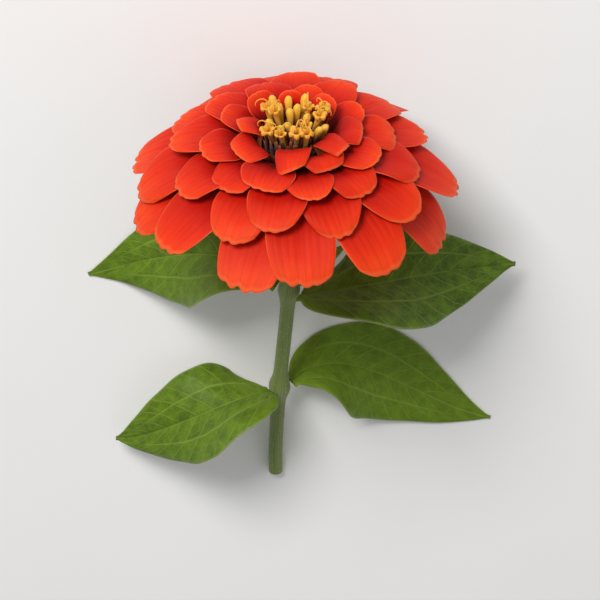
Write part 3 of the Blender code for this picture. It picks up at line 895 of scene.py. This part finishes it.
def make_petals():
    upper, under = petal_finish("petal_face", False), petal_finish("petal_back", True)
    draw, extra = random.Random(SEED), random.Random(PETAL_LOOK_SEED)
    shapes = [petal_shape(index, draw) for index in range(PETAL_COUNT)]
    for index, (shape, bend) in enumerate(zip(shapes, petal_bends(shapes))):
        rows, columns = PETAL_GRID if index < FIRST_SMALL_PETAL else SMALL_PETAL_GRID
        look = petal_look(index, extra)
        points = in_world(petal_surface(shape, rows, columns, bend, look))
        u, v = np.meshgrid(np.linspace(0, 1, rows), np.linspace(-1, 1, columns), indexing="ij")
        margin = np.minimum(1, np.minimum((1 - np.abs(v)) / 0.12, (1 - u) / 0.08))
        thickness = PETAL_MARGIN + (PETAL_THICKNESS - PETAL_MARGIN) * smooth(margin)
        vertices, faces, sides = sheet_parts(points, thickness)
        tone = PETAL_TONE + PETAL_TONE_SPREAD * extra.uniform(-1, 1) - PETAL_TONE_FALL * index / PETAL_COUNT
        name = f"petal_{index + 1:02d}"
        uvs, tones = {"UVMap": across_and_along(u, v)}, {"tone": np.full(len(vertices), tone)}
        made = set_mesh(name + "_sheet", vertices, faces, (upper, under), sides, uvs, tones)
        mount(made, "petal", name)


# ---------------------------------------------------------------- leaves


def leaf_relief(width, seed):
    """Two functions: the height of a leaf's grooves, quilting and waves, and its uneven outline."""
    draw = random.Random(seed)
    phase, beat = draw.uniform(0, 6.28), draw.uniform(8, 12)

    def lift(u, v, offset):
        far = np.abs(v)
        groove = -0.30 * MM * np.exp(-((offset / (0.5 * MM)) ** 2)) * (1 - ease(u, 0.8, 1))
        lateral = -0.12 * MM * np.exp(-(((far - LATERAL_VEIN_AT) / 0.05) ** 2))
        lateral *= ease(u, 0, 0.1) * (1 - ease(u, 0.7, 0.9))
        slant = SIDE_VEINS * u - SIDE_VEIN_SLANT * far
        quilt = 0.16 * MM * np.sin(math.pi * (slant % 1)) * ease(far, 0, 0.15) * (1 - ease(far, 0.8, 1))
        wave = 0.55 * MM * far**3 * np.sin(beat * u + phase + 2.1 * np.sign(v)) * ease(u, 0, 0.15)
        droop = -0.05 * np.abs(offset) * far**3
        return (groove + lateral + quilt + wave) * min(1, width / 20) + droop

    def narrow(u, v):
        return 1 + 0.010 * np.sin(3.1 * beat * u + phase) * np.abs(v) ** 8

    return lift, narrow


def hair(gathering, root, direction, length, radius):
    """A thin three-sided spike."""
    across = unit(np.cross(direction, (0.31, 0.22, 0.93)))
    other = np.cross(direction, across)
    ring = [root + radius * (math.cos(a) * across + math.sin(a) * other) for a in (0.0, 2.09, 4.19)]
    gathering.add(ring + [root + direction * length], ((0, 2, 1), (0, 1, 3), (1, 2, 3), (2, 0, 3)))


def make_leaves():
    upper, under = leaf_finish("leaf_face", False), leaf_finish("leaf_back", True)
    fringe = Gathering()
    draw = random.Random(FRINGE_SEED)
    for number, (name, *shape) in enumerate(LEAVES + AXILLARY_LEAVES):
        large = number < len(LEAVES)
        rows, columns = LEAF_GRID if large else SMALL_LEAF_GRID
        points, u, v, offset, reach = leaf_surface(*shape, rows, columns, leaf_relief(shape[-1], number))
        margin = np.minimum(1, (1 - np.abs(v)) / 0.10)
        thickness = LEAF_MARGIN + (LEAF_MIDDLE - LEAF_MARGIN) * smooth(margin)
        thickness = thickness + MIDRIB_THICKENING * np.exp(-((offset / (0.55 * MM)) ** 2)) * (1 - 0.7 * u)
        vertices, faces, sides = sheet_parts(points, thickness)
        size = np.tile(np.stack((offset, u * reach), -1).reshape(-1, 2) / MM, (2, 1))
        uvs = {"UVMap": across_and_along(u, v), "Size": size}
        tones = {"tone": np.full(len(vertices), LEAF_TONES[name])}
        made = set_mesh(name + "_blade", vertices, faces, (upper, under), sides, uvs, tones)
        mount(made, "leaf", name)
        for column in (0, columns - 1):
            edge, inner = points[:, column], points[:, column - 2 if column else 2]
            for place in np.linspace(0.04, 0.97, FRINGE_HAIRS if large else SMALL_FRINGE_HAIRS):
                at = place * (rows - 1)
                low = int(at)
                root = edge[low] + (edge[low + 1] - edge[low]) * (at - low)
                out = unit(root - inner[low]) + 0.7 * unit(edge[low + 1] - edge[low])
                out = unit(out + 0.25 * np.array([draw.uniform(-1, 1) for _ in range(3)]))
                hair(fringe, root, out, draw.uniform(*FRINGE_LENGTHS), FRINGE_HAIR_RADIUS)
    mount(fringe.piece("leaf_fringe", HAIR), "leaf")


# ---------------------------------------------------------------- stem


def make_stem_skin():
    distances = np.linspace(STEM_LENGTH, CUP_DEPTH - STEM_OVERLAP, STEM_RINGS)
    rings, turns = [], circle(STEM_SIDES)
    for distance in distances:
        middle, _, side, up = stem_frame(distance)
        radius = stem_radius(max(distance, CUP_DEPTH))
        ridge = 1 + 0.035 * np.cos(6 * turns + 14 * distance) + 0.015 * np.sin(3 * turns + 240 * distance)
        reach = (radius * ridge)[:, None]
        rings.append(middle + reach * (np.cos(turns)[:, None] * side + np.sin(turns)[:, None] * up))
    vertices, faces = tube_parts(rings)
    uv = np.stack(np.meshgrid(distances / STEM_LENGTH, np.abs(turns / math.pi - 1), indexing="ij"), -1)
    uvs = {"UVMap": uv.reshape(-1, 2)}
    made = set_mesh("stem_skin", vertices, faces, (stem_finish(),), uvs=uvs, sharp=50)
    mount(made, "stem", "stem")


def make_stem_cut():
    """The cut end, sunk a little, with pale pith inside the wall."""
    middle, ahead, side, up = stem_frame(STEM_LENGTH)
    rings, values, turns = [], [], circle(STEM_SIDES)
    for share in np.linspace(0.97, 0.06, 9):
        sunk = 0.25 * MM * (1 - share**4) * (1 + 0.3 * math.cos(9 * share))
        outward = -ahead * (0.12 * MM - sunk)
        ring = CUT_RADIUS * share * (np.cos(turns)[:, None] * side + np.sin(turns)[:, None] * up)
        rings.append((middle + outward + ring)[::-1])
        values += [share] * STEM_SIDES
    back = [rings[0] + ahead * CUT_PLUG_DEPTH]
    vertices, faces = tube_parts(back + rings)
    tones = {"tone": [1.0] * STEM_SIDES + values}
    mount(set_mesh("stem_cut", vertices, faces, (pith_finish(),), floats=tones), "stem")


def make_stem_hairs():
    draw = random.Random(STEM_HAIR_SEED)
    hairs = Gathering()
    for _ in range(STEM_HAIRS):
        distance = draw.uniform(CUP_DEPTH, STEM_LENGTH)
        middle, ahead, side, up = stem_frame(distance)
        turn = draw.uniform(0, 2 * math.pi)
        out = math.cos(turn) * side + math.sin(turn) * up
        root = middle + out * stem_radius(distance) * 0.99
        lean = unit(out + ahead * draw.uniform(-0.2, 0.5) + side * draw.uniform(-0.2, 0.2))
        length = draw.uniform(*STEM_HAIR_LENGTHS)
        if root[2] + lean[2] * length > 0.1 * MM:
            hair(hairs, root, lean, length, STEM_HAIR_RADIUS)
    mount(hairs.piece("stem_hairs", HAIR), "stem")


# ---------------------------------------------------------------- bracts


def make_bracts():
    """Overlapping bracts in rows, the outer rows lowest and shortest."""
    face, back = bract_finish("bract_face"), bract_finish("bract_back")
    draw = random.Random(BRACT_SEED)
    rows, columns = BRACT_GRID
    u, v = np.meshgrid(np.linspace(0, 1, rows), np.linspace(-1, 1, columns), indexing="ij")
    margin = np.minimum(1, np.minimum((1 - np.abs(v)) / 0.15, (1 - u) / 0.12))
    thickness = (0.12 + 0.38 * smooth(margin)) * MM
    for row, (foot_radius, foot_height, tip_radius, tip_height, width, count) in enumerate(BRACT_ROWS):
        vertices, faces, sides, uvs, total = [], [], [], [], 0
        for number in range(count):
            turn = 2 * math.pi * (number + 0.5 * (row % 2)) / count + draw.uniform(-0.05, 0.05)
            station = u * (1 - 0.30 * np.abs(v) ** 2.2 * smooth(u))
            foot = np.array((foot_radius, foot_height)) * MM
            tip = np.array((tip_radius, tip_height)) * MM
            control = (foot, foot + (2.0 * MM, 0.4 * MM), tip - (0.6 * MM, 2.2 * MM), tip)
            profile = bezier(control, station)
            half = width * MM / 2 * (0.55 + 0.45 * smooth(u / 0.5) - 0.12 * smooth((u - 0.7) / 0.3)) * v
            angle = turn + half / np.maximum(profile[..., 0], 2.5 * MM)
            arch = 0.28 * MM * np.cos(v * math.pi / 2) - 0.1 * MM
            swell = (arch + 0.12 * MM * draw.uniform(-1, 1) * v) * u
            reach = profile[..., 0] + swell + BRACT_STEP * (number % 2)
            points = np.stack((reach * np.cos(angle), reach * np.sin(angle), profile[..., 1]), -1)
            part, quads, which = sheet_parts(in_world(points), thickness)
            vertices.append(part)
            faces += (quads + total).tolist()
            sides.append(which)
            uvs.append(across_and_along(u, v))
            total += len(part)
        made = set_mesh(f"bracts_row_{row + 1}", np.concatenate(vertices), faces, (face, back),
                        np.concatenate(sides), {"UVMap": np.concatenate(uvs)})
        mount(made, "bract", *(("involucre",) if row == 0 else ()))


# ---------------------------------------------------------------- disc


def on_axis(foot, lean, height, reach, turns):
    """A ring round a leaning line, at this height over the line's foot."""
    middle = np.array(foot) + np.array(lean) * height
    ring = np.stack((reach * np.cos(turns), reach * np.sin(turns), np.zeros(len(turns))), -1)
    return middle + ring


def open_floret(foot, lean, height, draw):
    """A tube that opens into five lobes, curled back, as a closed thin shell."""
    turns = circle(30)
    lobe = np.abs(np.cos(2.5 * turns + draw.uniform(0, 3))) ** 0.7
    mouth = draw.uniform(0.72, 0.92) * MM
    outer, tones = [], []
    for share, radius in ((0, 0.42), (0.25, 0.50), (0.5, 0.56), (0.72, 0.66), (0.88, mouth / MM)):
        outer.append(on_axis(foot, lean, height * share, radius * MM, turns))
        tones.append(share * 0.75)
    spread = draw.uniform(0.9, 1.5) * MM
    curl = draw.uniform(1.6, 2.9)
    for step in np.linspace(0.2, 1, 7):
        bend = step * curl
        out = mouth + spread * lobe * math.sin(bend) / curl * 1.25
        rise = height * 0.88 + 0.30 * MM * step + spread * lobe * (1 - math.cos(bend)) / curl * -0.9 + (
            0.55 * MM * lobe * math.sin(step * math.pi))
        centre = np.array(foot) + np.array(lean) * (height * 0.9)
        ring = np.stack((out * np.cos(turns), out * np.sin(turns), rise - height * 0.9), -1)
        outer.append(centre + ring)
        tones.append(0.75 + 0.25 * step)
    outer = np.array(outer)
    flow = np.gradient(outer, axis=0)
    around = np.roll(outer, -1, axis=1) - np.roll(outer, 1, axis=1)
    inner = outer - unit(np.cross(around, flow)) * FLORET_SKIN
    rings = np.concatenate((outer, inner[::-1]))
    return rings, np.array(tones + tones[::-1])


def floret_bud(foot, lean, height):
    """A tube that is still closed, with five ridges."""
    turns = circle(20)
    ridge = 1 + 0.10 * np.cos(5 * turns)
    profile = ((0, 0.42), (0.3, 0.52), (0.6, 0.70), (0.8, 0.86), (0.92, 0.74), (0.98, 0.42), (1.0, 0.12))
    rings = [on_axis(foot, lean, height * share, radius * MM * ridge, turns) for share, radius in profile]
    return np.array(rings), np.array([0.15 + 0.65 * share for share, _ in profile])


def thin_tube(path, radii):
    """Rings along a path."""
    path = np.array(path)
    flow = unit(np.gradient(path, axis=0))
    side = unit(np.cross(flow, (0.2, 0.1, 0.97)))
    other = np.cross(flow, side)
    turns = circle(STYLE_SIDES)
    return np.array([
        p + r * (np.cos(turns)[:, None] * s + np.sin(turns)[:, None] * o)
        for p, r, s, o in zip(path, radii, side, other)
    ])


def make_receptacle():
    """The solid core that the petals stand on."""
    low, top, height = RECEPTACLE_LOW_RADIUS / MM, RECEPTACLE_TOP_RADIUS / MM, RECEPTACLE_HEIGHT / MM
    crown = RECEPTACLE_CROWN / MM
    profile = [(2.9, -8.2), (5.0, -5.2), (7.2, -2.6), (low, -0.4)]
    profile += [(low - 0.4, 2.6), (low - 0.9, 5.8), (top, height)]
    profile += [(top * math.cos(a), height + crown * math.sin(a)) for a in (0.4, 0.8, 1.2, 1.5)]
    turns = circle(RECEPTACLE_SIDES)
    rings, tones = [], []
    for number, (radius, level) in enumerate(profile):
        grain = 1 + 0.012 * np.cos(13 * turns + 2.4 * number)
        rings.append(np.stack((radius * grain * np.cos(turns), radius * grain * np.sin(turns),
                               np.full(RECEPTACLE_SIDES, level)), -1) * MM)
        tones += [number / (len(profile) - 1)] * RECEPTACLE_SIDES
    vertices, faces = tube_parts(rings)
    finish = receptacle_finish()
    made = set_mesh("receptacle", in_world(vertices), faces, (finish,), floats={"tone": tones})
    mount(made, "stem")


def add_style(gathering, mouth, draw):
    """The two arms of a style, which rise out of a floret's mouth and curl apart."""
    heading = draw.uniform(0, 6.28)
    for side in (0, math.pi):
        away = np.array((math.cos(heading + side), math.sin(heading + side), 0))
        reach = 0.75 * draw.uniform(*STYLE_LENGTHS)
        path = [mouth, mouth + UP * 0.9 * MM]
        for turn in np.linspace(0.0, 3.6, 12):
            rise = UP * (STYLE_RISE + reach * math.sin(turn))
            path.append(mouth + rise + away * reach * (1 - math.cos(turn)))
        vertices, faces = tube_parts(thin_tube(path, np.linspace(0.17, 0.09, len(path)) * MM))
        gathering.add(in_world(vertices), faces, np.repeat(np.linspace(0.3, 1, len(path)), STYLE_SIDES))


def make_florets(draw):
    florets, buds, styles = Gathering(), Gathering(), Gathering()
    for index in range(FLORETS):
        outness = math.sqrt((index + 0.5) / FLORETS)
        radius = DISC_RADIUS * outness
        angle = index * GOLDEN_ANGLE + 0.4
        radial = np.array((math.cos(angle), math.sin(angle), 0.0))
        foot = radial * radius + UP * (receptacle_height(radius) + CHAFF_GAP + 0.2 * MM)
        lean = UP + radial * (0.10 + 0.34 * outness) * draw.uniform(0.6, 1.2)
        lean = lean + 0.08 * np.array((draw.uniform(-1, 1), draw.uniform(-1, 1), 0))
        opened = index >= INNER_FLORETS and draw.random() < OPEN_SHARE
        height = draw.uniform(*(OPEN_HEIGHTS if opened else BUD_HEIGHTS))
        height += BACK_FLORET_RISE * max(0, -radial[1]) * outness
        rings, tones = open_floret(foot, lean, height, draw) if opened else floret_bud(foot, lean, height)
        vertices, faces = tube_parts(rings)
        group = florets if opened else buds
        group.add(in_world(vertices), faces, np.repeat(tones, rings.shape[1]))
        if opened:
            add_style(styles, foot + lean * height * 0.8, draw)
    open_look = floret_finish("floret_yellow", FLORET_TUBE, FLORET_LOBE)
    bud_look = floret_finish("bud_yellow", FLORET_TUBE, FLORET_YELLOW)
    style_look = floret_finish("style_yellow", FLORET_YELLOW, FLORET_LOBE)
    mount(florets.piece("open_florets", open_look), "disc", "disc_florets")
    mount(buds.piece("floret_buds", bud_look), "disc")
    mount(styles.piece("style_branches", style_look), "disc")


def make_chaff(draw):
    """Narrow scales between the florets and round them, and the bed that they stand on."""
    chaff = Gathering()
    u, v = np.meshgrid(np.linspace(0, 1, 7), np.linspace(-1, 1, 5), indexing="ij")
    thickness = np.full(u.shape, 0.10 * MM)
    width = 0.62 * MM * (1 - 0.72 * u**1.6) * v
    for index in range(CHAFF_SCALES):
        radius = CHAFF_RADIUS * math.sqrt((index + 0.5) / CHAFF_SCALES)
        angle = index * GOLDEN_ANGLE + 1.1
        radial = np.array((math.cos(angle), math.sin(angle), 0.0))
        sideways = np.array((-math.sin(angle), math.cos(angle), 0.0))
        foot = radial * radius + UP * (receptacle_height(radius) + CHAFF_GAP)
        height = draw.uniform(*CHAFF_HEIGHTS)
        rise = height * (u + 0.036 * np.sin(9 * v + index) * ease(u, 0.7, 1))
        out = 0.10 * MM * np.cos(1.4 * v) + 0.10 * radius * u + 0.2 * MM * u * u * draw.uniform(-1, 1)
        points = foot + radial * out[..., None] + sideways * width[..., None] + UP * rise[..., None]
        vertices, faces, _ = sheet_parts(points[:, ::-1], thickness)
        chaff.add(in_world(vertices), faces, np.tile(u.ravel(), 2))

    turns = circle(CHAFF_BED_SIDES)
    top, under = [], []
    for share in (1.0, 0.98, 0.9, 0.7, 0.45, 0.2, 0.03):
        radius = share * CHAFF_BED_RADIUS
        level = receptacle_height(radius)
        uneven = level + CHAFF_GAP + 0.35 * MM + 0.10 * MM * np.cos(9 * turns + 900 * radius)
        ring = np.stack((radius * np.cos(turns), radius * np.sin(turns), 0 * turns), -1)
        top.append(ring + UP * uneven[:, None])
        under.append(ring + UP * (level + 0.1 * MM))
    vertices, faces = tube_parts(under[::-1] + top)
    chaff.add(in_world(vertices), faces, np.zeros(len(vertices)))
    mount(chaff.piece("chaff", chaff_finish()), "disc")


def make_disc():
    draw = random.Random(DISC_SEED)
    make_florets(draw)
    make_chaff(draw)


# ---------------------------------------------------------------- stage

VIEW_ELEVATION = math.radians(68)
LENS = 150  # mm
VIEW_SPAN = 140 * MM  # what the picture's width takes in, at the middle of the flower
AIM = Vector((0.0, 0.0, 22 * MM))
FLOOR_REACH = 1.5  # m
FLOOR_RISE = 0.25  # m
FLOOR_POINTS = 25
SKY_LEVEL = 0.33


def make_camera():
    """Looks down on the flower from the side of its face, the face towards the top of the picture."""
    camera = bpy.data.objects.new("camera", bpy.data.cameras.new("camera"))
    bpy.context.scene.collection.objects.link(camera)
    camera.data.lens = LENS
    camera.data.clip_start = 0.01
    back = Vector((0, -math.cos(VIEW_ELEVATION), math.sin(VIEW_ELEVATION)))
    up = Vector((0, -math.sin(VIEW_ELEVATION), -math.cos(VIEW_ELEVATION)))
    right = up.cross(back)
    turn = Matrix((right, up, back)).transposed().to_4x4()
    distance = VIEW_SPAN * LENS / camera.data.sensor_width
    camera.matrix_world = Matrix.Translation(AIM + back * distance) @ turn
    bpy.context.scene.camera = camera


def make_lamp(name, direction, distance, size, level, colour=(1, 1, 1)):
    """A square soft lamp. The level is what it adds to a white surface that faces it."""
    lamp = bpy.data.lights.new(name, "AREA")
    lamp.size = size
    lamp.energy = level * math.pi**2 * distance**2
    lamp.color = colour
    made = bpy.data.objects.new(name, lamp)
    bpy.context.scene.collection.objects.link(made)
    towards = Vector(direction).normalized()
    turn = towards.to_track_quat("Z", "Y").to_matrix().to_4x4()
    made.matrix_world = Matrix.Translation(AIM + towards * distance) @ turn


def make_stage():
    """A pale floor that rises far from the flower, an even white sky, and two soft lamps."""
    place = np.linspace(-FLOOR_REACH, FLOOR_REACH, FLOOR_POINTS)
    x, y = np.meshgrid(place, place, indexing="ij")
    points = np.stack((x, y, FLOOR_RISE * ease(np.hypot(x, y), 1.1, FLOOR_REACH)), -1) - SHIFT
    faces = grid_faces(np.arange(FLOOR_POINTS**2).reshape(FLOOR_POINTS, FLOOR_POINTS))
    set_mesh("floor", points.reshape(-1, 3), faces, (floor_finish(),))

    world = bpy.data.worlds.new("studio")
    bpy.context.scene.world = world
    world.use_nodes = True
    background = world.node_tree.nodes["Background"]
    background.inputs["Color"].default_value = (1.0, 1.0, 1.0, 1)
    background.inputs["Strength"].default_value = SKY_LEVEL
    make_lamp("key", (0.35, -0.75, 0.80), 0.9, 0.34, 0.74, (1.0, 0.985, 0.96))
    make_lamp("fill", (-0.8, 0.1, 0.7), 1.0, 0.8, 0.08)
    bpy.context.scene.view_settings.view_transform = "Standard"


make_camera()
HAIR = hair_finish()
make_petals()
make_leaves()
make_stem_skin()
make_stem_cut()
make_stem_hairs()
make_bracts()
make_receptacle()
make_disc()
make_stage()
